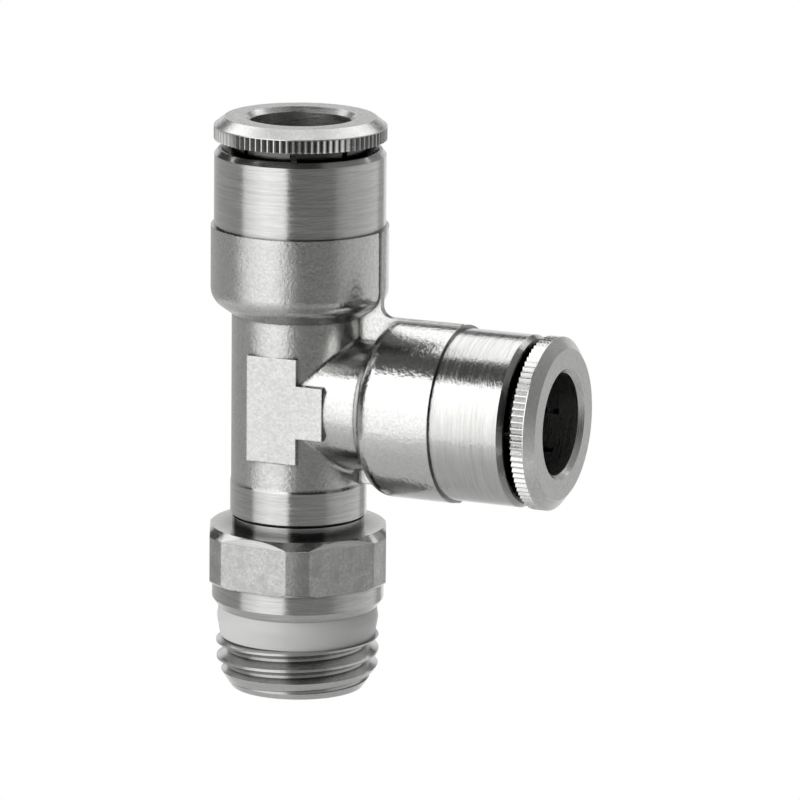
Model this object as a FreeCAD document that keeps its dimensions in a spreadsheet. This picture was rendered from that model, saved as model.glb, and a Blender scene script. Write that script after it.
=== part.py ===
import FreeCAD, Part
import os
import Sketcher
from FreeCAD import Placement, Rotation, Vector

# Swivelling male run tee for 8 mm tube, in millimetres. The origin is on the run axis, at the shoulder
# above the taper thread. +Z goes up the run axis, the side port along +X, and the flat pad is on -Y.
# The forging and both collets are drawn from the tee centre, where the axes of the two ports cross.

os.makedirs("parts", exist_ok=True)
doc = FreeCAD.newDocument("push_in_tee")

# Driving sizes. A reach or a drop is measured from the tee centre.
SIZES = [
    ("tube_dia", 8.0, "outside diameter of the tube"),
    ("flow_dia", 6.0, "passages that meet in the tee"),
    ("tube_stop", 7.3, "reach of the end of an inserted tube"),
    ("socket_length", 3.0, "socket for the end of the tube"),
    ("tube_play", 0.05, "radial room round the tube in that socket"),
    ("tube_seal_section", 1.9, "section of the O-ring on the tube"),
    ("tube_seal_inner", 7.7, "inside diameter of the same O-ring"),
    ("tube_seal_room", 0.5, "length of its seat beyond its section"),
    ("land_length", 0.8, "lip that keeps the O-ring in its seat"),
    ("land_play", 0.25, "radial room round the tube in that lip"),
    ("cavity_dia", 12.3, "room in which the fingers open"),
    ("throat_dia", 11.3, "narrow end of the cone that closes the fingers"),
    ("cone_length", 1.6, "length of that cone"),
    ("mouth_depth", 1.1, "countersink from the rim to the throat"),
    ("mouth_dia", 12.5, "countersink at the rim"),
    ("port_reach", 20.1, "reach of the rim of a port"),
    ("rim_bevel", 0.32, "radial width of the bevel on the rim"),
    ("rim_bevel_length", 0.4, "length of the same bevel"),
    ("step_reach", 14.0, "reach of the forged zone of a port"),
    ("forged_dia", 14.1, "forged outside of a port"),
    ("sleeve_turned", 0.25, "turned off the forging's radius along the sleeve"),
    ("port_gap", 1.09, "outside of one port to the forged zone of the other"),
    ("bowl_length", 1.19, "length over which a port widens"),
    ("bowl_round", 1.65, "rounding where it is wide"),
    ("neck_dia", 10.74, "forged neck of the run"),
    ("branch_neck_dia", 10.5, "forged neck of the branch"),
    ("crossing_round", 0.4, "rounding where the two necks meet"),
    ("ridge_width", 0.6, "width of the trimmed parting ridge"),
    ("ridge_rise", 0.12, "height of the same ridge"),
    ("ridge_corner", 0.9, "rounding of the ridge between the ports"),
    ("pad_width", 4.25, "width of each arm of the flat pad"),
    ("pad_height", 8.5, "height of the pad along the run"),
    ("pad_arm", 4.35, "reach of its arm towards the branch"),
    ("pad_rise", 0.03, "pad in front of the neck"),
    ("neck_drop", 9.43, "drop of the lower end of the neck"),
    ("turned_length", 2.73, "turned zone at the lower end of the neck"),
    ("turned_dia", 10.86, "diameter of that zone"),
    ("flare_length", 0.28, "slope from the forged neck to that zone"),
    ("neck_bevel", 0.2, "bevel at the lower end of the neck"),
    ("swivel_bore_dia", 8.5, "bore of the neck, which turns on the stem"),
    ("swivel_depth", 5.65, "depth of that bore"),
    ("swivel_play", 0.05, "radial room between shank and bore"),
    ("swivel_gap", 0.05, "gap between the neck and the upper collar"),
    ("shank_end_play", 0.15, "room above the end of the shank"),
    ("shank_bevel", 0.3, "bevel on the end of the shank"),
    ("wire_dia", 0.8, "wire of the retaining ring"),
    ("wire_play", 0.05, "room round the wire in its grooves"),
    ("wire_turn", 325.0, "angle that the open ring covers"),
    ("wire_height", 1.5, "neck end to the middle of that ring"),
    ("neck_seal_height", 3.85, "neck end to the middle of the swivel O-ring"),
    ("neck_seal_depth", 0.85, "depth of its groove in the shank"),
    ("neck_seal_room", 0.6, "length of the groove beyond the O-ring"),
    ("seal_play", 0.02, "room between an O-ring and the walls it seals on"),
    ("stem_bore_dia", 5.2, "passage through the stem"),
    ("upper_collar_dia", 10.56, "collar between the hexagon and the neck"),
    ("upper_collar_height", 0.74, "height of the same collar"),
    ("hex_flats", 14.0, "hexagon across flats"),
    ("hex_corners", 15.2, "hexagon across its turned corners"),
    ("hex_height", 4.38, "height of the hexagon"),
    ("hex_face_dia", 13.9, "flat top of the hexagon"),
    ("hex_bevel", 0.56, "height of the bevel round that top"),
    ("hex_under_bevel", 0.25, "height of the bevel under the hexagon"),
    ("hex_turn", 23.5, "direction that one flat faces, from +X"),
    ("lower_collar_dia", 13.7, "collar under the hexagon"),
    ("lower_collar_height", 2.3, "height of the same collar"),
    ("shoulder_dia", 12.64, "shoulder above the thread"),
    ("shoulder_bevel", 0.75, "height of the bevel over the shoulder"),
    ("thread_length", 6.53, "shoulder to the lower end of the stem"),
    ("gauge_dia", 13.157, "major diameter of R 1/4 at the gauge plane"),
    ("gauge_length", 6.0, "lower end to the gauge plane"),
    ("thread_taper", 16.0, "length per unit of diameter"),
    ("thread_pitch", 1.337, "19 threads per inch"),
    ("thread_depth", 0.856, "depth of the thread"),
    ("thread_angle", 55.0, "angle between the flanks"),
    ("thread_start", 0.854, "height of the lowest whole groove along +X"),
    ("thread_end_dia", 10.6, "flat lower end of the thread"),
    ("thread_end_bevel", 1.75, "length of the bevel above it"),
    ("recess_dia", 11.1, "waist between the thread and the shoulder"),
    ("ptfe_length", 2.35, "sealing ring on that waist"),
    ("ptfe_top_dia", 12.6, "sealing ring against the shoulder"),
    ("ptfe_widest_dia", 12.9, "sealing ring at its widest"),
    ("ptfe_widest_drop", 0.9, "shoulder to its widest place"),
    ("ptfe_low_dia", 12.4, "sealing ring at its lower edge"),
    ("ptfe_round", 1.2, "rounding of its widest place"),
    ("collet_play", 0.04, "radial room round the tube in the collet"),
    ("ring_gap", 0.8, "rim to the release ring while it is out"),
    ("ring_proud", 0.04, "release ring beyond the sleeve in radius"),
    ("ring_height", 1.75, "thickness of the release ring"),
    ("ring_bevel", 0.66, "height of the bevel round the release ring's face"),
    ("ring_slope", 0.87, "radial width of the same bevel"),
    ("entry_dia", 8.84, "bevelled entry for the tube"),
    ("entry_bevel", 0.4, "depth of the same bevel"),
    ("collet_neck_dia", 11.0, "neck between ring and fingers"),
    ("finger_play", 0.1, "radial room round the fingers' heads"),
    ("cone_play", 0.075, "radial gap between fingers and cone"),
    ("end_play", 0.3, "fingers to the lip while the ring is home"),
    ("finger_lead", 0.6, "sloping end of the fingers"),
    ("finger_tip_dia", 11.0, "fingers at their inner end"),
    ("grip_dia", 7.7, "gripping edge inside the fingers"),
    ("grip_reach", 0.45, "end of the fingers to the gripping edge"),
    ("grip_back", 1.65, "length of the slope behind that edge"),
    ("slot_count", 8, "slots between the fingers"),
    ("slot_width", 0.5, "width of a slot"),
    ("slot_shoulder", 0.3, "ring to the end of the slots"),
    ("run_collet_turn", 18.0, "turn of the upper collet, from slots along +X"),
    ("knurl_count", 83, "grooves round the release ring"),
    ("knurl_lip", 0.08, "plain lip between the grooves and the bevel"),
    ("knurl_depth", 0.2, "depth of a groove"),
    ("knurl_width", 0.44, "width of a groove at the surface"),
]

# Radii and places that follow from the driving sizes. The stem's own heights start at its lower end.
PLACES = [
    ("collars_height", "sizes.lower_collar_height + sizes.hex_height + sizes.upper_collar_height"),
    ("neck_end", "collars_height + sizes.swivel_gap"),
    ("centre_height", "neck_end + sizes.neck_drop"),
    ("flow_r", "sizes.flow_dia / 2"),
    ("socket_r", "sizes.tube_dia / 2 + sizes.tube_play"),
    ("socket_end", "sizes.tube_stop + sizes.socket_length"),
    ("tube_seal_r", "sizes.tube_seal_section / 2"),
    ("tube_seal_ring_r", "sizes.tube_seal_inner / 2 + tube_seal_r"),
    ("tube_seal_reach", "(socket_end + seat_end) / 2"),
    ("tube_seal_height", "centre_height + tube_seal_reach"),
    ("seat_r", "tube_seal_ring_r + tube_seal_r + sizes.seal_play"),
    ("seat_end", "socket_end + sizes.tube_seal_section + sizes.tube_seal_room"),
    ("land_r", "sizes.tube_dia / 2 + sizes.land_play"),
    ("land_end", "seat_end + sizes.land_length"),
    ("cavity_r", "sizes.cavity_dia / 2"),
    ("throat_r", "sizes.throat_dia / 2"),
    ("throat_reach", "sizes.port_reach - sizes.mouth_depth"),
    ("cone_reach", "throat_reach - sizes.cone_length"),
    ("cone_slope", "(cavity_r - throat_r) / sizes.cone_length"),
    ("mouth_r", "sizes.mouth_dia / 2"),
    ("forged_r", "sizes.forged_dia / 2"),
    ("sleeve_r", "forged_r - sizes.sleeve_turned"),
    ("rim_r", "sleeve_r - sizes.rim_bevel"),
    ("rim_bevel_reach", "sizes.port_reach - sizes.rim_bevel_length"),
    ("bowl_end", "forged_r + sizes.port_gap"),
    ("bowl_reach", "bowl_end - sizes.bowl_length"),
    ("neck_r", "sizes.neck_dia / 2"),
    ("branch_neck_r", "sizes.branch_neck_dia / 2"),
    ("turned_r", "sizes.turned_dia / 2"),
    ("turned_reach", "sizes.neck_drop - sizes.turned_length"),
    ("flare_reach", "turned_reach - sizes.flare_length"),
    ("neck_bevel_r", "turned_r - sizes.neck_bevel"),
    ("neck_bevel_reach", "sizes.neck_drop - sizes.neck_bevel"),
    ("ridge_r", "forged_r + sizes.ridge_rise"),
    ("ridge_neck_r", "neck_r + sizes.ridge_rise"),
    ("ridge_foot_reach", "(bowl_reach + bowl_end) / 2"),
    ("pad_half", "sizes.pad_width / 2"),
    ("pad_end", "sizes.pad_height / 2"),
    ("pad_face", "neck_r + sizes.pad_rise"),
    ("swivel_r", "sizes.swivel_bore_dia / 2"),
    ("swivel_top", "sizes.neck_drop - sizes.swivel_depth"),
    ("shank_r", "swivel_r - sizes.swivel_play"),
    ("wire_r", "sizes.wire_dia / 2"),
    ("wire_half", "wire_r + sizes.wire_play"),
    ("wire_seat_r", "shank_r + wire_half"),
    ("wire_seat_low", "sizes.neck_drop - sizes.wire_height + wire_half"),
    ("wire_seat_high", "sizes.neck_drop - sizes.wire_height - wire_half"),
    ("wire_place", "neck_end + sizes.wire_height"),
    ("seal_floor_r", "shank_r - sizes.neck_seal_depth"),
    ("neck_seal_r", "(swivel_r - seal_floor_r) / 2 - sizes.seal_play"),
    ("neck_seal_ring_r", "(swivel_r + seal_floor_r) / 2"),
    ("neck_seal_half", "neck_seal_r + sizes.neck_seal_room / 2"),
    ("neck_seal_place", "neck_end + sizes.neck_seal_height"),
    ("stem_bore_r", "sizes.stem_bore_dia / 2"),
    ("thread_end_r", "sizes.thread_end_dia / 2"),
    ("radial_taper", "1 / sizes.thread_taper / 2"),
    ("major_end_r", "sizes.gauge_dia / 2 - sizes.gauge_length * radial_taper"),
    ("major_bevel_r", "major_end_r + sizes.thread_end_bevel * radial_taper"),
    ("recess_low", "sizes.thread_length - sizes.ptfe_length"),
    ("major_recess_r", "major_end_r + recess_low * radial_taper"),
    ("recess_r", "sizes.recess_dia / 2"),
    ("shoulder_r", "sizes.shoulder_dia / 2"),
    ("collar_low", "sizes.thread_length + sizes.shoulder_bevel"),
    ("lower_collar_r", "sizes.lower_collar_dia / 2"),
    ("hex_low", "sizes.thread_length + sizes.lower_collar_height"),
    ("flats_r", "sizes.hex_flats / 2"),
    ("corner_r", "sizes.hex_corners / 2"),
    ("hex_under_r", "corner_r - sizes.hex_under_bevel"),
    ("hex_under_top", "hex_low + sizes.hex_under_bevel"),
    ("hex_top", "hex_low + sizes.hex_height"),
    ("hex_bevel_low", "hex_top - sizes.hex_bevel"),
    ("hex_face_r", "sizes.hex_face_dia / 2"),
    ("upper_collar_r", "sizes.upper_collar_dia / 2"),
    ("upper_collar_top", "hex_top + sizes.upper_collar_height"),
    ("shank_low", "sizes.thread_length + neck_end"),
    ("stem_wire_r", "shank_r - sizes.wire_dia"),
    ("stem_wire_low", "shank_low + sizes.wire_height - wire_half"),
    ("stem_wire_high", "shank_low + sizes.wire_height + wire_half"),
    ("stem_seal_low", "shank_low + sizes.neck_seal_height - neck_seal_half"),
    ("stem_seal_high", "shank_low + sizes.neck_seal_height + neck_seal_half"),
    ("shank_top", "shank_low + sizes.swivel_depth - sizes.shank_end_play"),
    ("shank_bevel_low", "shank_top - sizes.shank_bevel"),
    ("shank_bevel_r", "shank_r - sizes.shank_bevel"),
    ("flank_width", "sizes.thread_depth * tan(sizes.thread_angle / 2)"),
    ("groove_root_half", "(sizes.thread_pitch - 2 * flank_width) / 4"),
    ("groove_over", "sizes.thread_depth / 8"),
    ("groove_mouth_half", "groove_root_half + flank_width + groove_over * tan(sizes.thread_angle / 2)"),
    ("groove_place", "sizes.thread_start - sizes.thread_pitch"),
    ("groove_root_r", "(major_end_r + major_recess_r) / 2 - sizes.thread_depth"),
    ("groove_mouth_r", "groove_root_r + sizes.thread_depth + groove_over"),
    ("groove_root_low", "groove_place - groove_root_half"),
    ("groove_root_high", "groove_place + groove_root_half"),
    ("groove_mouth_low", "groove_place - groove_mouth_half"),
    ("groove_mouth_high", "groove_place + groove_mouth_half"),
    ("groove_travel", "recess_low - groove_place + sizes.thread_pitch / 2"),
    ("ptfe_inner_r", "recess_r + sizes.seal_play"),
    ("ptfe_low_r", "sizes.ptfe_low_dia / 2"),
    ("ptfe_widest_r", "sizes.ptfe_widest_dia / 2"),
    ("ptfe_widest_height", "sizes.ptfe_length - sizes.ptfe_widest_drop"),
    ("ptfe_top_r", "sizes.ptfe_top_dia / 2"),
    ("collet_bore_r", "sizes.tube_dia / 2 + sizes.collet_play"),
    ("collet_tip", "land_end + sizes.ring_gap + sizes.end_play"),
    ("grip_r", "sizes.grip_dia / 2"),
    ("grip_place", "collet_tip + sizes.grip_reach"),
    ("grip_end", "grip_place + sizes.grip_back"),
    ("ring_low", "sizes.port_reach + sizes.ring_gap"),
    ("ring_top", "ring_low + sizes.ring_height"),
    ("ring_r", "sleeve_r + sizes.ring_proud"),
    ("ring_flat_r", "ring_r - sizes.ring_slope"),
    ("ring_bevel_low", "ring_top - sizes.ring_bevel"),
    ("entry_r", "sizes.entry_dia / 2"),
    ("entry_end", "ring_top - sizes.entry_bevel"),
    ("collet_neck_r", "sizes.collet_neck_dia / 2"),
    ("finger_r", "cavity_r - sizes.finger_play"),
    ("finger_tip_r", "sizes.finger_tip_dia / 2"),
    ("finger_lead_end", "collet_tip + sizes.finger_lead"),
    ("finger_cone_low", "cone_reach + (sizes.finger_play - sizes.cone_play) / cone_slope"),
    ("finger_cone_high", "finger_cone_low + (finger_r - collet_neck_r) / cone_slope"),
    ("slot_half", "sizes.slot_width / 2"),
    ("slot_end", "ring_low - sizes.slot_shoulder"),
    ("knurl_top", "ring_bevel_low - sizes.knurl_lip"),
    ("knurl_height", "knurl_top - ring_low"),
    ("knurl_root_r", "ring_r - sizes.knurl_depth"),
    ("knurl_mouth_r", "ring_r + sizes.knurl_depth"),
    ("knurl_mouth_half", "sizes.knurl_width"),
]

DRIVING = {alias for alias, number, note in SIZES}


def make_sheet(name, rows):
    """A sheet with one named cell and its note per row. Names come first, so formulas may use them all."""
    sheet = doc.addObject("Spreadsheet::Sheet", name)
    for line, (alias, content, note) in enumerate(rows, start=1):
        sheet.setAlias(f"A{line}", alias)
        sheet.set(f"B{line}", note)
    for line, (alias, content, note) in enumerate(rows, start=1):
        sheet.set(f"A{line}", content)
    doc.recompute()
    return sheet


sizes = make_sheet("sizes", [(alias, str(number), note) for alias, number, note in SIZES])
places = make_sheet("places", [(alias, f"={formula}", "worked out") for alias, formula in PLACES])


def cell(name):
    """The expression that reads one named cell, with its sign."""
    sheet = "sizes" if name.lstrip("-") in DRIVING else "places"
    sign = "-" if name.startswith("-") else ""
    return f"{sign}{sheet}.{name.lstrip('-')}"


def value(name):
    """The present number of one named cell, with its sign."""
    if name == "0":
        return 0.0
    sheet = sizes if name.lstrip("-") in DRIVING else places
    number = float(sheet.get(name.lstrip("-")))
    return -number if name.startswith("-") else number


def bind(item, path, name):
    """Let one property of an object follow a named cell."""
    item.setExpression(path, cell(name))


def new_body(label):
    body = doc.addObject("PartDesign::Body", label)
    body.Label = label
    return body


def new_sketch(body, name, role, turn=0.0):
    """A sketch on one of the body's origin planes, turned about that plane's normal."""
    plane = next(item for item in body.Origin.OriginFeatures if item.Role == role)
    sketch = body.newObject("Sketcher::SketchObject", name)
    sketch.AttachmentSupport = [(plane, "")]
    sketch.MapMode = "FlatFace"
    sketch.AttachmentOffset = Placement(Vector(), Rotation(Vector(0, 0, 1), turn))
    return sketch


def hold(sketch, name, kind, *where):
    """Add a constraint that follows a named cell."""
    number = sketch.addConstraint(Sketcher.Constraint(kind, *where, value(name)))
    bind(sketch, f"Constraints[{number}]", name)


def place_point(sketch, item, across, along):
    """Hold the first point of an item at two named distances, or on an axis where the name is 0."""
    for kind, name, axis in (("DistanceX", across, -2), ("DistanceY", along, -1)):
        if name == "0":
            sketch.addConstraint(Sketcher.Constraint("PointOnObject", item, 1, axis))
        else:
            hold(sketch, name, kind, item, 1)


def draw_outline(sketch, points):
    """A closed outline through points: two cell names each, and a third where the corner is rounded."""
    spots = [Vector(value(across), value(along), 0) for across, along, *rounding in points]
    for start, end in zip(spots, spots[1:] + spots[:1]):
        sketch.addGeometry(Part.LineSegment(start, end), False)
    for line in range(len(spots)):
        following = (line + 1) % len(spots)
        sketch.addConstraint(Sketcher.Constraint("Coincident", line, 2, following, 1))
    corners = list(range(len(points)))
    arcs = []
    for line, (across, along, *rounding) in enumerate(points):
        if rounding:
            arcs.append((sketch.GeometryCount, rounding[0]))
            corners[line] = sketch.GeometryCount + 1
            sketch.fillet(line, 1, value(rounding[0]), True, True)
    for arc, radius in arcs:
        hold(sketch, radius, "Radius", arc)
    for corner, (across, along, *rounding) in zip(corners, points):
        place_point(sketch, corner, across, along)


def turn_profile(body, kind, name, points, turn=0.0):
    """Add or cut a solid of revolution. Points are radius and distance; turn 0 points up, -90 to +X."""
    sketch = new_sketch(body, f"{name}_profile", "XZ_Plane", turn)
    draw_outline(sketch, points)
    feature = body.newObject(kind, name)
    feature.Profile = sketch
    feature.ReferenceAxis = (sketch, ["V_Axis"])
    feature.Angle = 360
    feature.Refine = True
    sketch.Visibility = False
    doc.recompute()
    return feature


def cut_profile(body, name, points, turn=0.0):
    before = body.Shape.Volume
    feature = turn_profile(body, "PartDesign::Groove", name, points, turn)
    must_have_cut(body, name, before)
    return feature


def must_have_cut(body, name, before):
    if not body.Shape.Volume < before:
        raise ValueError(f"{name} removed nothing")


def round_edges(body, name, edges, radius):
    """Round some edges of the body's latest feature with a named radius."""
    if not edges:
        raise ValueError(f"{name} found no edge")
    base = body.Tip
    feature = body.newObject("PartDesign::Fillet", name)
    feature.Base = (base, edges)
    bind(feature, "Radius", radius)
    doc.recompute()
    return feature


def crossing_edges(shape):
    """Names of the edges where two cylinders cross, which are neither straight nor circular."""
    return [
        f"Edge{number}"
        for number, edge in enumerate(shape.Edges, start=1)
        if not isinstance(edge.Curve, (Part.Circle, Part.Line))
    ]


def add_copies(body, name, original, axis, count):
    """Repeat a feature round an axis and make the pattern the body's result."""
    pattern = body.newObject("PartDesign::PolarPattern", name)
    pattern.Originals = [original]
    pattern.Axis = axis
    pattern.Angle = 360
    bind(pattern, "Occurrences", count)
    pattern.Refine = True
    body.Tip = pattern
    doc.recompute()
    return pattern


# The forging

PORTS = {"run": (0.0, Vector(0, 0, 1)), "branch": (-90.0, Vector(1, 0, 0))}


def add_port_outside(body, port, neck):
    """Neck, bowl, forged zone and turned sleeve of one port."""
    turn, axis = PORTS[port]
    outline = [
        ("0", "0"),
        (neck, "0"),
        (neck, "bowl_reach"),
        ("forged_r", "bowl_end", "bowl_round"),
        ("forged_r", "step_reach"),
        ("sleeve_r", "step_reach"),
        ("sleeve_r", "rim_bevel_reach"),
        ("rim_r", "port_reach"),
        ("0", "port_reach"),
    ]
    turn_profile(body, "PartDesign::Revolution", f"{port}_outside", outline, turn)


def add_neck_outside(body):
    """Lower half of the run, with the turned zone that faces the stem."""
    outline = [
        ("0", "0"),
        ("neck_r", "0"),
        ("neck_r", "flare_reach"),
        ("turned_r", "turned_reach"),
        ("turned_r", "neck_bevel_reach"),
        ("neck_bevel_r", "neck_drop"),
        ("0", "neck_drop"),
    ]
    turn_profile(body, "PartDesign::Revolution", "neck_outside", outline, 180.0)


CLOSE = 1e-3


def add_ridge(body):
    """Trimmed flash of the forging, in the plane of both axes and as far as the turned zones."""
    sketch = new_sketch(body, "ridge_outline", "XZ_Plane")
    draw_outline(sketch, [
        ("-ridge_neck_r", "-flare_reach"),
        ("-ridge_neck_r", "bowl_reach"),
        ("-ridge_r", "bowl_end"),
        ("-ridge_r", "step_reach"),
        ("ridge_r", "step_reach"),
        ("ridge_r", "ridge_r"),
        ("step_reach", "ridge_r"),
        ("step_reach", "-ridge_r"),
        ("bowl_end", "-ridge_r"),
        ("ridge_foot_reach", "-flare_reach"),
    ])
    ridge = body.newObject("PartDesign::Pad", "ridge")
    ridge.Profile = sketch
    ridge.Midplane = True
    bind(ridge, "Length", "ridge_width")
    ridge.Refine = True
    doc.recompute()
    corner = [
        f"Edge{number}"
        for number, edge in enumerate(body.Shape.Edges, start=1)
        if isinstance(edge.Curve, Part.Line)
        and abs(edge.CenterOfMass.x - value("ridge_r")) < CLOSE
        and abs(edge.CenterOfMass.z - value("ridge_r")) < CLOSE
    ]
    round_edges(body, "ridge_rounding", corner, "ridge_corner")


def add_pad(body):
    """Flat pad on the front of the crossing, an upright bar with an arm along the branch."""
    sketch = new_sketch(body, "pad_outline", "XZ_Plane")
    draw_outline(sketch, [
        ("-pad_half", "-pad_end"),
        ("pad_half", "-pad_end"),
        ("pad_half", "-pad_half"),
        ("pad_arm", "-pad_half"),
        ("pad_arm", "pad_half"),
        ("pad_half", "pad_half"),
        ("pad_half", "pad_end"),
        ("-pad_half", "pad_end"),
    ])
    pad = body.newObject("PartDesign::Pad", "pad")
    pad.Profile = sketch
    bind(pad, "Length", "pad_face")
    pad.Refine = True
    doc.recompute()


def cut_port_inside(body, port):
    """Flow passage, tube socket, O-ring seat, finger cavity, closing cone and countersink."""
    turn, axis = PORTS[port]
    outline = [
        ("0", "0"),
        ("flow_r", "0"),
        ("flow_r", "tube_stop"),
        ("socket_r", "tube_stop"),
        ("socket_r", "socket_end"),
        ("seat_r", "socket_end"),
        ("seat_r", "seat_end"),
        ("land_r", "seat_end"),
        ("land_r", "land_end"),
        ("cavity_r", "land_end"),
        ("cavity_r", "cone_reach"),
        ("throat_r", "throat_reach"),
        ("mouth_r", "port_reach"),
        ("0", "port_reach"),
    ]
    cut_profile(body, f"{port}_inside", outline, turn)


def cut_neck_inside(body):
    """Lower flow passage and the bore that turns on the stem, with its ring groove."""
    outline = [
        ("0", "0"),
        ("flow_r", "0"),
        ("flow_r", "swivel_top"),
        ("swivel_r", "swivel_top"),
        ("swivel_r", "wire_seat_high"),
        ("wire_seat_r", "wire_seat_high"),
        ("wire_seat_r", "wire_seat_low"),
        ("swivel_r", "wire_seat_low"),
        ("swivel_r", "neck_drop"),
        ("0", "neck_drop"),
    ]
    cut_profile(body, "neck_inside", outline, 180.0)


def make_tee_body():
    body = new_body("tee_body")
    add_port_outside(body, "run", "neck_r")
    add_neck_outside(body)
    add_port_outside(body, "branch", "branch_neck_r")
    round_edges(body, "crossing_rounding", crossing_edges(body.Shape), "crossing_round")
    add_ridge(body)
    add_pad(body)
    for port in PORTS:
        cut_port_inside(body, port)
    cut_neck_inside(body)
    bind(body, "Placement.Base.z", "centre_height")
    return body


# The collets

def add_collet_blank(body):
    """Release ring, neck and finger heads, turned in one piece, with the gripping edge inside."""
    outline = [
        ("collet_bore_r", "collet_tip"),
        ("grip_r", "grip_place"),
        ("collet_bore_r", "grip_end"),
        ("collet_bore_r", "entry_end"),
        ("entry_r", "ring_top"),
        ("ring_flat_r", "ring_top"),
        ("ring_r", "ring_bevel_low"),
        ("ring_r", "ring_low"),
        ("collet_neck_r", "ring_low"),
        ("collet_neck_r", "finger_cone_high"),
        ("finger_r", "finger_cone_low"),
        ("finger_r", "finger_lead_end"),
        ("finger_tip_r", "collet_tip"),
    ]
    turn_profile(body, "PartDesign::Revolution", "blank", outline)


def cut_knurl(body):
    """Straight knurl: one V groove from the lip to the ring's underside, repeated round it."""
    sketch = new_sketch(body, "knurl_section", "XY_Plane")
    draw_outline(sketch, [
        ("knurl_root_r", "0"),
        ("knurl_mouth_r", "knurl_mouth_half"),
        ("knurl_mouth_r", "-knurl_mouth_half"),
    ])
    bind(sketch, "AttachmentOffset.Base.z", "knurl_top")
    before = body.Shape.Volume
    groove = body.newObject("PartDesign::Pocket", "knurl_groove")
    groove.Profile = sketch
    bind(groove, "Length", "knurl_height")
    doc.recompute()
    must_have_cut(body, "knurl_groove", before)
    add_copies(body, "knurl", groove, (sketch, ["N_Axis"]), "knurl_count")


def cut_slots(body):
    """Saw cuts that part the fingers, from the inner end nearly to the ring."""
    sketch = new_sketch(body, "slot_outline", "YZ_Plane")
    draw_outline(sketch, [
        ("-slot_half", "land_end"),
        ("slot_half", "land_end"),
        ("slot_half", "slot_end"),
        ("-slot_half", "slot_end"),
    ])
    before = body.Shape.Volume
    slot = body.newObject("PartDesign::Pocket", "slot")
    slot.Profile = sketch
    bind(slot, "Length", "cavity_r")
    doc.recompute()
    must_have_cut(body, "slot", before)
    add_copies(body, "slots", slot, (sketch, ["V_Axis"]), "slot_count")


def make_collet(label):
    """One collet, upright on the tee centre. Where its slots stand doesn't matter: it turns in its port."""
    body = new_body(label)
    add_collet_blank(body)
    cut_slots(body)
    cut_knurl(body)
    bind(body, "Placement.Base.z", "centre_height")
    return body


def make_collets():
    run_collet = make_collet("run_collet")
    bind(run_collet, "Placement.Rotation.Angle", "run_collet_turn")
    branch_collet = make_collet("branch_collet")
    branch_collet.Placement.Rotation = Rotation(Vector(0, 1, 0), 90)
    return [run_collet, branch_collet]


# The stem

def add_stem_blank(body):
    """Bored and turned blank: thread, waist, lower collar, hexagon, upper collar and grooved shank."""
    outline = [
        ("stem_bore_r", "0"),
        ("thread_end_r", "0"),
        ("major_bevel_r", "thread_end_bevel"),
        ("major_recess_r", "recess_low"),
        ("recess_r", "recess_low"),
        ("recess_r", "thread_length"),
        ("shoulder_r", "thread_length"),
        ("lower_collar_r", "collar_low"),
        ("lower_collar_r", "hex_low"),
        ("hex_under_r", "hex_low"),
        ("corner_r", "hex_under_top"),
        ("corner_r", "hex_bevel_low"),
        ("hex_face_r", "hex_top"),
        ("upper_collar_r", "hex_top"),
        ("upper_collar_r", "upper_collar_top"),
        ("shank_r", "upper_collar_top"),
        ("shank_r", "stem_wire_low"),
        ("stem_wire_r", "stem_wire_low"),
        ("stem_wire_r", "stem_wire_high"),
        ("shank_r", "stem_wire_high"),
        ("shank_r", "stem_seal_low"),
        ("seal_floor_r", "stem_seal_low"),
        ("seal_floor_r", "stem_seal_high"),
        ("shank_r", "stem_seal_high"),
        ("shank_r", "shank_bevel_low"),
        ("shank_bevel_r", "shank_top"),
        ("stem_bore_r", "shank_top"),
    ]
    turn_profile(body, "PartDesign::Revolution", "blank", outline)


def cut_flats(body):
    """Six flats of the hexagon: one cut beyond the flat, repeated round the axis."""
    sketch = new_sketch(body, "flat_outline", "XY_Plane")
    draw_outline(sketch, [
        ("flats_r", "-flats_r"),
        ("corner_r", "-flats_r"),
        ("corner_r", "flats_r"),
        ("flats_r", "flats_r"),
    ])
    bind(sketch, "AttachmentOffset.Base.z", "hex_top")
    bind(sketch, "AttachmentOffset.Rotation.Angle", "hex_turn")
    before = body.Shape.Volume
    flat = body.newObject("PartDesign::Pocket", "flat")
    flat.Profile = sketch
    bind(flat, "Length", "hex_height")
    doc.recompute()
    must_have_cut(body, "flat", before)
    pattern = body.newObject("PartDesign::PolarPattern", "hexagon")
    pattern.Originals = [flat]
    pattern.Axis = (sketch, ["N_Axis"])
    pattern.Angle = 360
    pattern.Occurrences = 6
    pattern.Refine = True
    body.Tip = pattern
    doc.recompute()


def cut_thread(body):
    """Right-hand thread: a flat-rooted V that climbs from below the end into the waist.

    The crests have the taper of the blank. The root keeps the radius that it has at mid length."""
    sketch = new_sketch(body, "thread_section", "XZ_Plane")
    draw_outline(sketch, [
        ("groove_root_r", "groove_root_low"),
        ("groove_mouth_r", "groove_mouth_low"),
        ("groove_mouth_r", "groove_mouth_high"),
        ("groove_root_r", "groove_root_high"),
    ])
    before = body.Shape.Volume
    thread = body.newObject("PartDesign::SubtractiveHelix", "thread")
    thread.Profile = sketch
    thread.ReferenceAxis = (sketch, ["V_Axis"])
    thread.Mode = "pitch-height-angle"
    bind(thread, "Pitch", "thread_pitch")
    bind(thread, "Height", "groove_travel")
    doc.recompute()
    must_have_cut(body, "thread", before)


def make_stem():
    body = new_body("swivel_stem")
    add_stem_blank(body)
    cut_flats(body)
    cut_thread(body)
    bind(body, "Placement.Base.z", "-thread_length")
    return body


# Seals and the retaining ring

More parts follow.
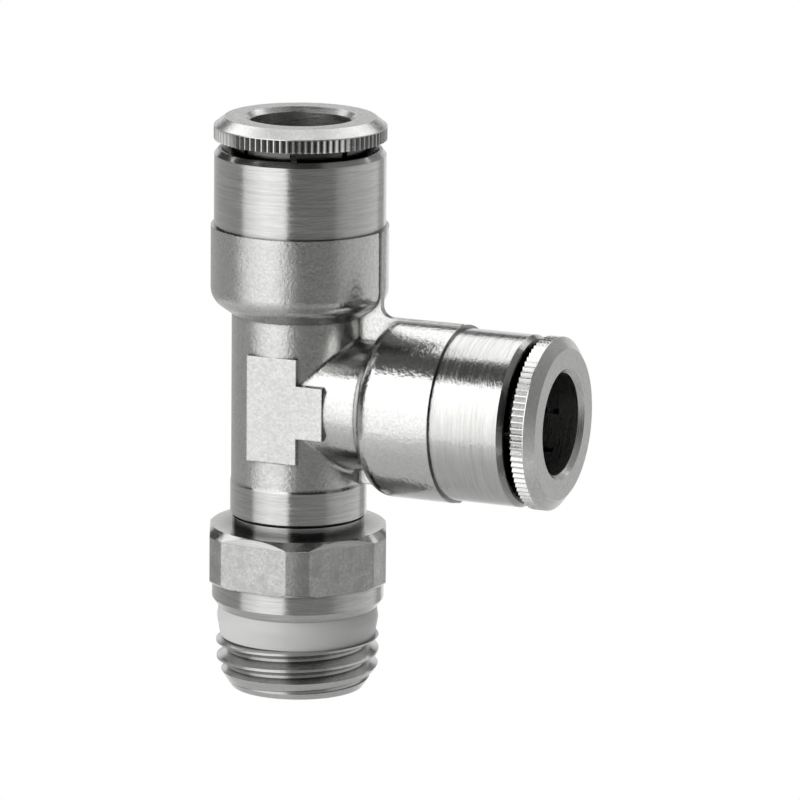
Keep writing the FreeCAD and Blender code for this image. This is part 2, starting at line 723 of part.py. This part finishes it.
def make_thread_seal():
    """PTFE ring on the waist of the stem, against the shoulder."""
    body = new_body("thread_seal")
    outline = [
        ("ptfe_inner_r", "0"),
        ("ptfe_low_r", "0"),
        ("ptfe_widest_r", "ptfe_widest_height", "ptfe_round"),
        ("ptfe_top_r", "ptfe_length"),
        ("ptfe_inner_r", "ptfe_length"),
    ]
    turn_profile(body, "PartDesign::Revolution", "ring", outline)
    bind(body, "Placement.Base.z", "-ptfe_length")
    return body


SECTION_SIDES = 8


def make_ring(label, ring_radius, section_radius):
    """A ring about the Z axis of its own placement. Its round section is drawn with flats round it."""
    section = doc.addObject("Part::RegularPolygon", f"{label}_section")
    section.Polygon = SECTION_SIDES
    half_side = 180 / SECTION_SIDES
    section.setExpression("Circumradius", f"{cell(section_radius)} / cos({half_side} deg)")
    section.Placement.Rotation = Rotation(0, 0, 90) * Rotation(Vector(0, 0, 1), half_side)
    bind(section, "Placement.Base.x", ring_radius)
    ring = doc.addObject("Part::Revolution", label)
    ring.Label = label
    ring.Source = section
    ring.Axis = Vector(0, 0, 1)
    ring.Angle = 360
    ring.Solid = True
    return ring


def make_rings():
    """Both tube seals, the swivel seal and the open retaining ring."""
    run_seal = make_ring("run_tube_seal", "tube_seal_ring_r", "tube_seal_r")
    bind(run_seal, "Placement.Base.z", "tube_seal_height")
    branch_seal = make_ring("branch_tube_seal", "tube_seal_ring_r", "tube_seal_r")
    branch_seal.Placement.Rotation = Rotation(Vector(0, 1, 0), 90)
    bind(branch_seal, "Placement.Base.x", "tube_seal_reach")
    bind(branch_seal, "Placement.Base.z", "centre_height")
    swivel_seal = make_ring("swivel_seal", "neck_seal_ring_r", "neck_seal_r")
    bind(swivel_seal, "Placement.Base.z", "neck_seal_place")
    retainer = make_ring("swivel_retainer", "shank_r", "wire_r")
    bind(retainer, "Angle", "wire_turn")
    bind(retainer, "Placement.Base.z", "wire_place")
    return [run_seal, branch_seal, swivel_seal, retainer]


def check_document():
    """Stop if any object of the document failed to build."""
    for item in doc.Objects:
        if "Invalid" in item.State or "Error" in item.State:
            raise ValueError(f"{item.Label} failed: {item.State}")


def write_parts(parts):
    for part in parts:
        if part.Shape.isNull() or not part.Shape.isValid():
            raise ValueError(f"{part.Label} has no valid shape")
        if len(part.Shape.Solids) != 1:
            raise ValueError(f"{part.Label} is {len(part.Shape.Solids)} solids")
    for part in parts:
        part.Shape.exportStep(f"parts/{part.Label}.step")
        print(part.Label, round(part.Shape.Volume, 2), "mm3", len(part.Shape.Faces), "faces")


parts = [make_tee_body(), *make_collets(), make_stem(), make_thread_seal(), *make_rings()]
doc.recompute()
check_document()
write_parts(parts)
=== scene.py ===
import math
import bpy
from mathutils import Matrix, Vector

# Studio picture of the push-in tee, in metres. The tee centre is where the axes of both ports cross.
# Directions are azimuth and elevation in degrees; azimuth 0 looks from -Y and grows towards +X.

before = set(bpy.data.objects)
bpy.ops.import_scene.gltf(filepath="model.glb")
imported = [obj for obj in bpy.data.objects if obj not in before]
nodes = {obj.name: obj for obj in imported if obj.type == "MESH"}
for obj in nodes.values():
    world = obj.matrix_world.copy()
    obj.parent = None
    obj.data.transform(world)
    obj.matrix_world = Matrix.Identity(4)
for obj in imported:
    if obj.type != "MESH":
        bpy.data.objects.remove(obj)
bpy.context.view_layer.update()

MM = 0.001
TEE_HEIGHT = 16.9
CENTRE = Vector((0, 0, TEE_HEIGHT * MM))
WHITE = (1, 1, 1, 1)


# Camera

VIEW_AZIMUTH = 24.0
VIEW_ELEVATION = 12.7
VIEW_ROLL = 0.35
VIEW_DISTANCE = 0.560
PIXELS_PER_METRE = 12600.0
IMAGE_SIDE = 800
CENTRE_PIXEL = (299.0, 397.0)
SENSOR = 36.0
NEAR_CLIP = 0.01
FAR_CLIP = 20


def direction(azimuth, elevation):
    """Unit vector from the object towards a place in the studio."""
    turn = math.radians(azimuth)
    rise = math.radians(elevation)
    return Vector((math.sin(turn) * math.cos(rise), -math.cos(turn) * math.cos(rise), math.sin(rise)))


def aim(back, focal):
    """Side, top and look directions of a camera that shows the tee centre on its pixel."""
    right = Vector((0, 0, 1)).cross(back).normalized()
    up = back.cross(right)
    roll = math.radians(VIEW_ROLL)
    across = (CENTRE_PIXEL[0] - IMAGE_SIDE / 2) / focal
    down = (CENTRE_PIXEL[1] - IMAGE_SIDE / 2) / focal
    rolled_across = math.cos(roll) * across + math.sin(roll) * down
    rolled_down = math.cos(roll) * down - math.sin(roll) * across
    look = (-back - rolled_across * right + rolled_down * up).normalized()
    side = look.cross(up).normalized()
    top = side.cross(look)
    rolled_side = math.cos(roll) * side + math.sin(roll) * top
    rolled_top = math.cos(roll) * top - math.sin(roll) * side
    return rolled_side, rolled_top, look


def make_camera():
    """Long lens at the photo's viewing angle."""
    back = direction(VIEW_AZIMUTH, VIEW_ELEVATION)
    focal = PIXELS_PER_METRE * VIEW_DISTANCE
    side, top, look = aim(back, focal)
    lens = bpy.data.cameras.new("camera")
    lens.sensor_width = SENSOR
    lens.lens = SENSOR * focal / IMAGE_SIDE
    lens.clip_start = NEAR_CLIP
    lens.clip_end = FAR_CLIP
    camera = bpy.data.objects.new("camera", lens)
    turn = Matrix((side, top, -look)).transposed().to_4x4()
    camera.matrix_world = Matrix.Translation(CENTRE + VIEW_DISTANCE * back) @ turn
    bpy.context.scene.collection.objects.link(camera)
    bpy.context.scene.camera = camera


# Material nodes

def new_material(name):
    material = bpy.data.materials.new(name)
    material.use_nodes = True
    material.node_tree.nodes.clear()
    return material


def add(tree, kind, inputs=None, **settings):
    """A shader node with its settings, and its inputs given as numbers or as other nodes' outputs."""
    item = tree.nodes.new(f"ShaderNode{kind}")
    for name, setting in settings.items():
        setattr(item, name, setting)
    for socket, source in (inputs or {}).items():
        if isinstance(source, bpy.types.NodeSocket):
            tree.links.new(source, item.inputs[socket])
        else:
            item.inputs[socket].default_value = source
    return item


def calculate(tree, operation, first, second=0.0, third=0.0):
    inputs = {0: first, 1: second, 2: third}
    return add(tree, "Math", inputs, operation=operation).outputs[0]


def blend(tree, share, low, high):
    """A number that goes from low to high as share goes from 0 to 1."""
    return add(tree, "Mix", {0: share, 2: low, 3: high}).outputs[0]


def mix_colours(tree, share, low, high):
    """A colour that goes from low to high as share goes from 0 to 1."""
    return add(tree, "Mix", {0: share, 6: low, 7: high}, data_type="RGBA").outputs[2]


def place(tree):
    """Object coordinates in millimetres."""
    spot = add(tree, "TexCoord").outputs["Object"]
    return add(tree, "VectorMath", {0: spot, "Scale": 1 / MM}, operation="SCALE").outputs[0]


def split(tree, spot):
    return add(tree, "SeparateXYZ", {0: spot}).outputs


def stretch(tree, spot, amount):
    return add(tree, "VectorMath", {0: spot, 1: amount}, operation="MULTIPLY").outputs[0]


def noise(tree, spot, scale, detail, roughness):
    inputs = {"Vector": spot, "Scale": scale, "Detail": detail, "Roughness": roughness}
    return add(tree, "TexNoise", inputs).outputs[0]


def spread(tree, value, low, high):
    """Stretch the values from low to high to between 0 and 1."""
    return add(tree, "MapRange", {0: value, 1: low, 2: high}).outputs[0]


def relief(tree, spot, grain, height):
    """Height in millimetres of a noise."""
    return calculate(tree, "MULTIPLY", noise(tree, spot, *grain), height)


def finish_surface(tree, shader):
    output = tree.nodes.new("ShaderNodeOutputMaterial")
    tree.links.new(shader.outputs[0], output.inputs["Surface"])


# Metal

NICKEL = (0.51, 0.51, 0.50, 1)
WORN_NICKEL = (0.41, 0.41, 0.40, 1)
FORGED_NICKEL = (0.57, 0.57, 0.56, 1)
DULL_NICKEL = (0.42, 0.42, 0.41, 1)
DRAWN_NICKEL = (0.54, 0.54, 0.53, 1)
STAINED_NICKEL = (0.37, 0.37, 0.36, 1)
SATIN_NICKEL = (0.62, 0.62, 0.61, 1)
# Painted shade: the dark colour that corners and gaps are painted with where ambient occlusion finds them.
PAINTED_SHADE = (0.05, 0.05, 0.05, 1)

# Roughness, from the smoothest to the roughest spot where it varies.
FORGED_ROUGH = (0.22, 0.34)
POLISHED_ROUGH = (0.12, 0.18)
TURNED_ROUGH = (0.13, 0.21)
SATIN_ROUGH = (0.24, 0.34)
DRAWN_ROUGH = 0.36

# Places on the fitting in millimetres. A reach runs from the tee centre along the axis of a port and is
# negative below it, and the hexagon's heights run from the shoulder above the thread.
SLEEVE_REACH = 13.99
NECK_REACH = -6.5
COLLAR_REACH = -10.87
RIM_REACH = 19.4
KNURL_REACH = 20.7
HEAD_REACH = 21.9
BORE_RADIUS = 4.3
HEX_LOW = 2.3
HEX_HIGH = 6.08

# Where along X the forging's polish begins and where it is full, in millimetres.
POLISH_ALONG_X = (3.0, 7.0)

# Noises: changes in a millimetre, detail and roughness.
MOTTLE_GRAIN = (4.0, 5.0, 0.75)
PATCH_GRAIN = (0.9, 3.0, 0.5)
WAVE_GRAIN = (0.45, 2.0, 0.5)
FINE_PEBBLES = (4.2, 3.0, 0.6)
LARGE_PEBBLES = (2.8, 3.0, 0.6)
DRAWN_GRAIN = (3.0, 4.0, 0.65)
LINE_GRAIN = (1.0, 5.0, 0.75)
MARK_GRAIN = (1.0, 3.0, 0.6)

# How a noise is squeezed, twice across an axis and once along it, so that its spots run round the axis.
LONG_LINES = (0.25, 0.25, 4.0)
LONG_MARKS = (1.1, 1.1, 7.0)
SHORT_MARKS = (2.5, 2.5, 6.0)

# How far the marks shift along the axis for each millimetre outwards, which gives flat faces rings too.
DRIFT_BY_RADIUS = 0.7

# The part of a noise's range over which its share goes from 0 to 1.
LINE_SPREAD = (0.38, 0.62)
MOTTLE_SPREAD = (0.36, 0.64)
BLOTCH_SPREAD = (0.3, 0.6)

# Heights of relief in millimetres.
WAVE_HEIGHT = 0.04
PEBBLE_HEIGHT = 0.026
DRAWN_HEIGHT = 0.03
LONG_MARK_HEIGHT = 0.012
SHORT_MARK_HEIGHT = 0.02

# Widths of rounded edges and of the corners and gaps that get painted shade, and how fast the painted shade
# in a gap deepens.
FORGED_EDGE = 0.12 * MM
TURNED_EDGE = 0.02 * MM
EDGE_SAMPLES = 4
CORNER_WIDTH = 0.4 * MM
GAP_WIDTH = 1.6 * MM
GAP_SAMPLES = 8
RING_GAP_POWER = 2.5
COLLAR_GAP_POWER = 1.5

# Shares of a clean or satin finish, and the steepest slope that counts as one of the hexagon's flats.
CLEAN_BY_POLISH = 0.25
CLEAN_BY_MOTTLE = 0.8
THREAD_SATIN = 0.45
RUN_GROOVE_SATIN = 0.3
BRANCH_GROOVE_SATIN = 0.9
UPRIGHT_SLOPE = 0.3


def lathe_place(tree, spot, branch):
    """Radius and reach along the axis of a port, and a vector for marks that run round that axis.

    branch is 0 about the run's axis and 1 about the side port's.
    """
    x, y, z = split(tree, spot)
    height = calculate(tree, "SUBTRACT", z, TEE_HEIGHT)
    along = blend(tree, branch, height, x)
    across = blend(tree, branch, x, height)
    across_square = calculate(tree, "MULTIPLY", across, across)
    radius = calculate(tree, "SQRT", calculate(tree, "MULTIPLY_ADD", y, y, across_square))
    drift = calculate(tree, "MULTIPLY_ADD", radius, DRIFT_BY_RADIUS, along)
    return radius, along, add(tree, "CombineXYZ", {0: across, 1: y, 2: drift}).outputs[0]


def turning_relief(tree, lathe_spot, branch):
    """Height in millimetres of tool marks round an axis, shorter and deeper on the side port."""
    long_marks = relief(tree, stretch(tree, lathe_spot, LONG_MARKS), MARK_GRAIN, LONG_MARK_HEIGHT)
    short_marks = relief(tree, stretch(tree, lathe_spot, SHORT_MARKS), MARK_GRAIN, SHORT_MARK_HEIGHT)
    return blend(tree, branch, long_marks, short_marks)


def forged_relief(tree, spot, polish):
    """Height in millimetres of a forging's soft, pebbled skin, with larger pebbles where it is polished."""
    waves = relief(tree, spot, WAVE_GRAIN, WAVE_HEIGHT)
    fine = relief(tree, spot, FINE_PEBBLES, PEBBLE_HEIGHT)
    large = relief(tree, spot, LARGE_PEBBLES, PEBBLE_HEIGHT)
    return calculate(tree, "ADD", waves, blend(tree, polish, fine, large))


def nickel_normal(tree, spot, lathe_spot, branch, polish, shares):
    """Pebbled where forged, grained where drawn, with tool marks where turned, and rounded at the edges."""
    turned, drawn, satin = shares
    drawn_skin = relief(tree, spot, DRAWN_GRAIN, DRAWN_HEIGHT)
    height = blend(tree, drawn, forged_relief(tree, spot, polish), drawn_skin)
    height = blend(tree, turned, height, turning_relief(tree, lathe_spot, branch))
    edge = blend(tree, turned, FORGED_EDGE, TURNED_EDGE)
    edges = add(tree, "Bevel", {"Radius": edge}, samples=EDGE_SAMPLES).outputs[0]
    return add(tree, "Bump", {"Height": height, "Distance": MM, "Normal": edges}).outputs[0]


def nickel_roughness(tree, lines, patches, polish, shares):
    """Smoothest where polished, roughest on drawn flats."""
    turned, drawn, satin = shares
    forged = blend(tree, patches, *FORGED_ROUGH)
    rough = blend(tree, polish, forged, blend(tree, patches, *POLISHED_ROUGH))
    rough = blend(tree, drawn, rough, DRAWN_ROUGH)
    rough = blend(tree, turned, rough, blend(tree, lines, *TURNED_ROUGH))
    return blend(tree, satin, rough, blend(tree, lines, *SATIN_ROUGH))


def nickel_colour(tree, spot, lines, patches, polish, shares):
    """Mottled where forged, blotched where drawn, streaked where turned."""
    turned, drawn, satin = shares
    mottle = spread(tree, noise(tree, spot, *MOTTLE_GRAIN), *MOTTLE_SPREAD)
    clean = calculate(tree, "MULTIPLY", mottle, CLEAN_BY_MOTTLE)
    clean = calculate(tree, "MULTIPLY_ADD", polish, CLEAN_BY_POLISH, clean)
    forged = mix_colours(tree, calculate(tree, "MINIMUM", clean, 1.0), DULL_NICKEL, FORGED_NICKEL)
    blotches = calculate(tree, "MULTIPLY", mottle, spread(tree, patches, *BLOTCH_SPREAD))
    colour = mix_colours(tree, drawn, forged, mix_colours(tree, blotches, STAINED_NICKEL, DRAWN_NICKEL))
    colour = mix_colours(tree, turned, colour, mix_colours(tree, lines, WORN_NICKEL, NICKEL))
    return mix_colours(tree, satin, colour, mix_colours(tree, mottle, NICKEL, SATIN_NICKEL))


def shade_corners_and_gaps(tree, colour, clean, gaps, gap_power):
    """A colour with painted shade: it darkens in corners that ambient occlusion finds, and in wide gaps
    where gaps is 1, but not where clean is 1.
    """
    inputs = {"Distance": blend(tree, gaps, CORNER_WIDTH, GAP_WIDTH), "Color": WHITE}
    open_sky = add(tree, "AmbientOcclusion", inputs, samples=GAP_SAMPLES).outputs["AO"]
    light = calculate(tree, "POWER", open_sky, blend(tree, gaps, 1.0, gap_power))
    return mix_colours(tree, calculate(tree, "MAXIMUM", clean, light), PAINTED_SHADE, colour)


def make_nickel(name, zones, branch_from=SLEEVE_REACH, gaps_from=RIM_REACH, gap_power=RING_GAP_POWER):
    """Nickel plate over brass. zones gives the shares of turned, drawn and satin surface at a spot.

    Past branch_from the marks run round the side port, and past gaps_from wide gaps get painted shade too.
    """
    material = new_material(name)
    tree = material.node_tree
    spot = place(tree)
    side = split(tree, spot)["X"]
    branch = calculate(tree, "GREATER_THAN", side, branch_from)
    radius, reach, lathe_spot = lathe_place(tree, spot, branch)
    shares = zones(tree, spot, radius, reach)
    satin = shares[2]
    polish = spread(tree, side, *POLISH_ALONG_X)
    patches = noise(tree, spot, *PATCH_GRAIN)
    lines = spread(tree, noise(tree, stretch(tree, lathe_spot, LONG_LINES), *LINE_GRAIN), *LINE_SPREAD)
    colour = nickel_colour(tree, spot, lines, patches, polish, shares)
    gaps = calculate(tree, "GREATER_THAN", reach, gaps_from)
    shader = add(tree, "BsdfPrincipled", {
        # Base colour with painted shade in corners and gaps, left out where the finish is satin.
        "Base Color": shade_corners_and_gaps(tree, colour, satin, gaps, gap_power),
        "Metallic": 1.0,
        "Roughness": nickel_roughness(tree, lines, patches, polish, shares),
        "Normal": nickel_normal(tree, spot, lathe_spot, branch, polish, shares),
    })
    finish_surface(tree, shader)
    return material


def body_zones(tree, spot, radius, reach):
    """Turned sleeves and neck end, forged elsewhere."""
    sleeve = calculate(tree, "GREATER_THAN", reach, SLEEVE_REACH)
    neck = calculate(tree, "LESS_THAN", reach, NECK_REACH)
    return calculate(tree, "MAXIMUM", sleeve, neck), 0.0, 0.0


def stem_zones(tree, spot, radius, reach):
    """Drawn flats on the hexagon, turned elsewhere, and partly satin on the thread."""
    height = split(tree, spot)["Z"]
    below = calculate(tree, "LESS_THAN", height, HEX_HIGH)
    above = calculate(tree, "GREATER_THAN", height, HEX_LOW)
    slope = split(tree, add(tree, "TexCoord").outputs["Normal"])["Z"]
    upright = calculate(tree, "LESS_THAN", calculate(tree, "ABSOLUTE", slope), UPRIGHT_SLOPE)
    drawn = calculate(tree, "MULTIPLY", upright, calculate(tree, "MULTIPLY", above, below))
    thread = calculate(tree, "LESS_THAN", height, 0.0)
    satin = calculate(tree, "MULTIPLY", thread, THREAD_SATIN)
    return calculate(tree, "SUBTRACT", 1.0, drawn), drawn, satin


def collet_satin(tree, radius, reach, groove_satin):
    """Satin share of a collet: 1 on its head and in its bore, and groove_satin on the grooved rim."""
    head = calculate(tree, "GREATER_THAN", reach, HEAD_REACH)
    rim = calculate(tree, "MULTIPLY", calculate(tree, "GREATER_THAN", reach, KNURL_REACH), groove_satin)
    bore = calculate(tree, "LESS_THAN", radius, BORE_RADIUS)
    return calculate(tree, "MAXIMUM", calculate(tree, "MAXIMUM", head, rim), bore)


def run_collet_zones(tree, spot, radius, reach):
    """Turned, with a satin head, and painted shade kept in most of the grooves."""
    return 1.0, 0.0, collet_satin(tree, radius, reach, RUN_GROOVE_SATIN)


def branch_collet_zones(tree, spot, radius, reach):
    """Turned, with a satin head, and painted shade taken out of most of the grooves."""
    return 1.0, 0.0, collet_satin(tree, radius, reach, BRANCH_GROOVE_SATIN)


# Seals

PTFE = (0.64, 0.64, 0.63, 1)
PTFE_GRAIN = (1.5, 3.0, 0.5)
PTFE_RELIEF = 0.02 * MM
PTFE_ROUGH = (0.3, 0.45)
PTFE_MILK = 0.3
PTFE_MILK_DEPTH = 0.6 * MM
RUBBER = (0.02, 0.02, 0.02, 1)
RUBBER_GRAIN = (3.0, 3.0, 0.5)
RUBBER_RELIEF = 0.01 * MM
RUBBER_ROUGH = (0.45, 0.55)


def make_soft(name, colour, grain, height, rough, extra):
    """A plain seal with a faint grain. extra holds further inputs of its shader."""
    material = new_material(name)
    tree = material.node_tree
    spots = noise(tree, place(tree), *grain)
    bump = add(tree, "Bump", {"Height": spots, "Distance": height})
    shader = add(tree, "BsdfPrincipled", {
        "Base Color": colour,
        "Roughness": blend(tree, spots, *rough),
        "Normal": bump.outputs[0],
        **extra,
    })
    finish_surface(tree, shader)
    return material


def make_ptfe():
    """Milky white, slightly waxy."""
    milk = {
        "Subsurface Weight": PTFE_MILK,
        "Subsurface Radius": (1.0, 1.0, 1.0),
        "Subsurface Scale": PTFE_MILK_DEPTH,
    }
    return make_soft("ptfe", PTFE, PTFE_GRAIN, PTFE_RELIEF, PTFE_ROUGH, milk)


def dress(name, material):
    mesh = nodes[name].data
    mesh.materials.clear()
    mesh.materials.append(material)


def dress_all():
    # The stem gets wider painted shade in the gaps above its hexagon, round the collar.
    stem = make_nickel("plated_stem", stem_zones, gaps_from=COLLAR_REACH, gap_power=COLLAR_GAP_POWER)
    dress("tee_body", make_nickel("plated_body", body_zones))
    dress("swivel_stem", stem)
    dress("run_collet", make_nickel("plated_run_collet", run_collet_zones))
    dress("branch_collet", make_nickel("plated_branch_collet", branch_collet_zones, branch_from=0.0))
    dress("swivel_retainer", make_nickel("spring_wire", run_collet_zones))
    dress("thread_seal", make_ptfe())
    rubber = make_soft("seal_rubber", RUBBER, RUBBER_GRAIN, RUBBER_RELIEF, RUBBER_ROUGH, {})
    for name in ("run_tube_seal", "branch_tube_seal", "swivel_seal"):
        dress(name, rubber)


# Studio

STUDIO_REACH = 0.5
FOOT_REACH = 0.18
PANEL_STEPS = 12
FLOOR = (0.85, 0.85, 0.85, 1)
FLOOR_DROP = 0.2
FLOOR_SIDE = 8.0
SHADOW_REACH = 0.2
WHITE_REACH = 0.45
FILL_LIGHT = 0.6
WHITE_LIGHT = 1.0

# Light tent, seen from the object: azimuths from the camera, left negative, and elevations. Then the light
# at the panel's low left and low right corner, and at its high left and high right one.
PANELS = [
    ("key", (-82, -17), (0, 50), (1.5, 2.1), (2.8, 2.8)),
    ("key_foot_left", (-82, -50), (-25, 0), (1.0, 1.45), (1.2, 1.9)),
    ("key_foot_right", (-50, -17), (-25, 0), (1.45, 1.3), (1.95, 1.75)),
    ("over_key", (-118, -17), (50, 76), (0.12, 0.12), (0.12, 0.12)),
    ("front_low", (-17, 48), (-25, 0), (0.40, 0.45), (0.16, 0.21)),
    ("front_high", (-17, 48), (0, 76), (0.04, 0.04), (0.06, 0.06)),
    ("right_low", (48, 76), (-25, 0), (0.46, 0.74), (0.40, 0.66)),
    ("right_edge", (76, 126), (-25, 0), (0.68, 0.95), (0.60, 0.95)),
    ("right_end", (126, 150), (-25, 0), (0.55, 0.50), (0.55, 0.50)),
    ("right_high", (48, 118), (0, 76), (0.32, 0.40), (0.30, 0.35)),
    ("right_rear", (118, 146), (0, 33), (0.48, 0.48), (0.42, 0.42)),
    ("left_low", (-180, -82), (-25, 0), (0.65, 0.42), (0.65, 0.42)),
    ("left_high", (-118, -82), (0, 50), (0.08, 0.08), (0.08, 0.08)),
    ("left_rear", (-150, -118), (0, 33), (0.10, 0.10), (0.10, 0.10)),
    ("rear_gap", (146, 210), (17, 33), (0.10, 0.10), (0.10, 0.10)),
    ("top", (-242, -118), (33, 90), (1.9, 1.9), (1.9, 1.9)),
    ("crown_left", (-118, -70), (76, 84), (0.02, 0.02), (0.02, 0.02)),
    ("crown_key", (-70, -25), (76, 84), (0.4, 0.4), (0.4, 0.4)),
    ("crown_right", (-25, 118), (76, 84), (0.02, 0.02), (0.02, 0.02)),
    ("pole", (-118, 118), (84, 90), (0.3, 0.3), (0.6, 0.6)),
]
FOOT_PANEL = ("front_foot", (-17, 48), (-70, -25), (0.22, 0.22), (0.32, 0.32))


def make_stage(name, points, faces, material):
    mesh = bpy.data.meshes.new(name)
    mesh.from_pydata(points, [], faces)
    mesh.materials.append(material)
    item = bpy.data.objects.new(name, mesh)
    bpy.context.scene.collection.objects.link(item)
    return item


def make_glow():
    """White light, as strong as each panel's own values say."""
    material = new_material("panel_glow")
    tree = material.node_tree
    strength = add(tree, "Attribute", attribute_name="glow").outputs["Fac"]
    finish_surface(tree, add(tree, "Emission", {"Color": WHITE, "Strength": strength}))
    return material


def between(ends, share):
    return ends[0] + (ends[1] - ends[0]) * share


def make_panel(material, reach, name, azimuths, elevations, low, high):
    """A lit patch of the light tent, which the metal reflects and the camera doesn't see."""
    row = PANEL_STEPS + 1
    points = []
    glow = []
    for step in range(row * row):
        across = (step % row) / PANEL_STEPS
        upward = (step // row) / PANEL_STEPS
        turn = VIEW_AZIMUTH + between(azimuths, across)
        points.append(CENTRE + reach * direction(turn, between(elevations, upward)))
        glow.append(between((between(low, across), between(high, across)), upward))
    starts = [step for step in range(row * PANEL_STEPS) if step % row < PANEL_STEPS]
    faces = [(step, step + 1, step + row + 1, step + row) for step in starts]
    panel = make_stage(name, points, faces, material)
    panel.data.attributes.new("glow", "FLOAT", "POINT").data.foreach_set("value", glow)
    panel.visible_camera = False
    panel.visible_shadow = False


def background_rays(tree):
    """1 for rays that show the background: from the camera, or off metal and through glass."""
    path = add(tree, "LightPath").outputs
    seen = calculate(tree, "MAXIMUM", path["Is Camera Ray"], path["Is Glossy Ray"])
    return calculate(tree, "MAXIMUM", seen, path["Is Transmission Ray"])


def make_floor():
    """Pale floor under the held fitting. It keeps the shadow near the object and is white further out."""
    material = new_material("floor")
    tree = material.node_tree
    spot = add(tree, "TexCoord").outputs["Object"]
    reach = add(tree, "VectorMath", {0: spot}, operation="LENGTH").outputs["Value"]
    far = spread(tree, reach, SHADOW_REACH, WHITE_REACH)
    share = calculate(tree, "MULTIPLY", far, background_rays(tree))
    pale = add(tree, "BsdfDiffuse", {"Color": FLOOR})
    white = add(tree, "Emission", {"Color": WHITE, "Strength": WHITE_LIGHT})
    finish_surface(tree, add(tree, "MixShader", {0: share, 1: pale.outputs[0], 2: white.outputs[0]}))
    half = FLOOR_SIDE / 2
    corners = [(-half, -half, 0), (half, -half, 0), (half, half, 0), (-half, half, 0)]
    floor = make_stage("floor", corners, [(0, 1, 2, 3)], material)
    floor.location = CENTRE - Vector((0, 0, FLOOR_DROP))


def make_world():
    """White where it shows, and an even fill elsewhere."""
    world = bpy.data.worlds.new("studio")
    world.use_nodes = True
    tree = world.node_tree
    tree.nodes.clear()
    strength = blend(tree, background_rays(tree), FILL_LIGHT, WHITE_LIGHT)
    background = add(tree, "Background", {"Color": WHITE, "Strength": strength})
    output = tree.nodes.new("ShaderNodeOutputWorld")
    tree.links.new(background.outputs[0], output.inputs["Surface"])
    bpy.context.scene.world = world


def make_studio():
    make_world()
    make_floor()
    glow = make_glow()
    for panel in PANELS:
        make_panel(glow, STUDIO_REACH, *panel)
    make_panel(glow, FOOT_REACH, *FOOT_PANEL)


make_camera()
dress_all()
make_studio()
bpy.context.scene.view_settings.view_transform = "Standard"
